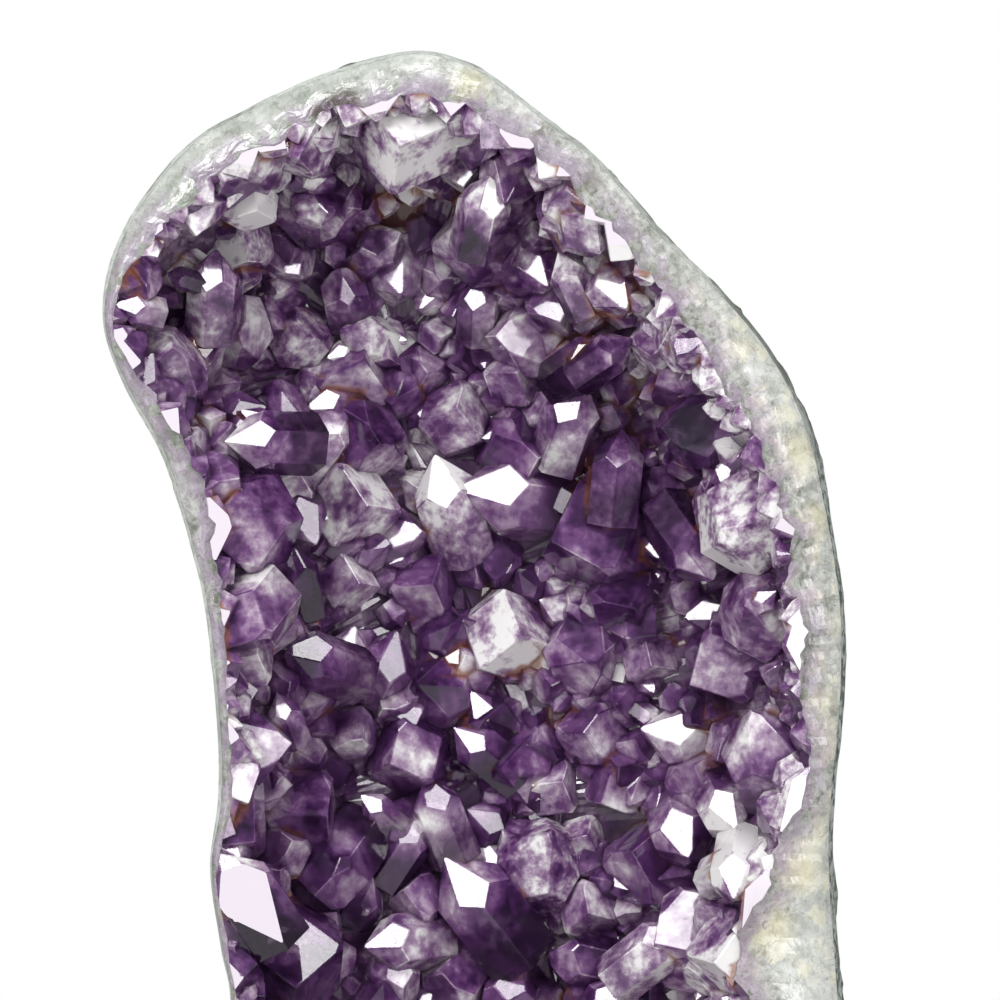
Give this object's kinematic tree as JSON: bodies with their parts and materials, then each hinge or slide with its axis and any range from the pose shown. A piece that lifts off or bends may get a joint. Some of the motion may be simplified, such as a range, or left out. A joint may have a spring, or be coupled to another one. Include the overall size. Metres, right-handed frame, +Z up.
{
  "type": "amethyst geode",
  "caption": "Tall amethyst geode, standing on a sawn base: rough basalt outside, a ground rim of pale quartz and a hollow lined with purple points.",
  "frame": {"origin": "middle of the geode's box at the level of the sawn base", "axes": "+Z up, -Y out of the open front of the hollow, +X to the right as seen from the front"},
  "size_m": [0.256, 0.145, 0.4189],
  "materials": {
    "basalt": "rough natural rock with a dark green-grey skin",
    "quartz": "ground and polished on the rim",
    "amethyst": "natural glassy crystal faces"
  },
  "bodies": {
    "root": {"basalt_matrix": "basalt", "quartz_band": "quartz", "amethyst_crust": "amethyst"}
  },
  "joints": []
}
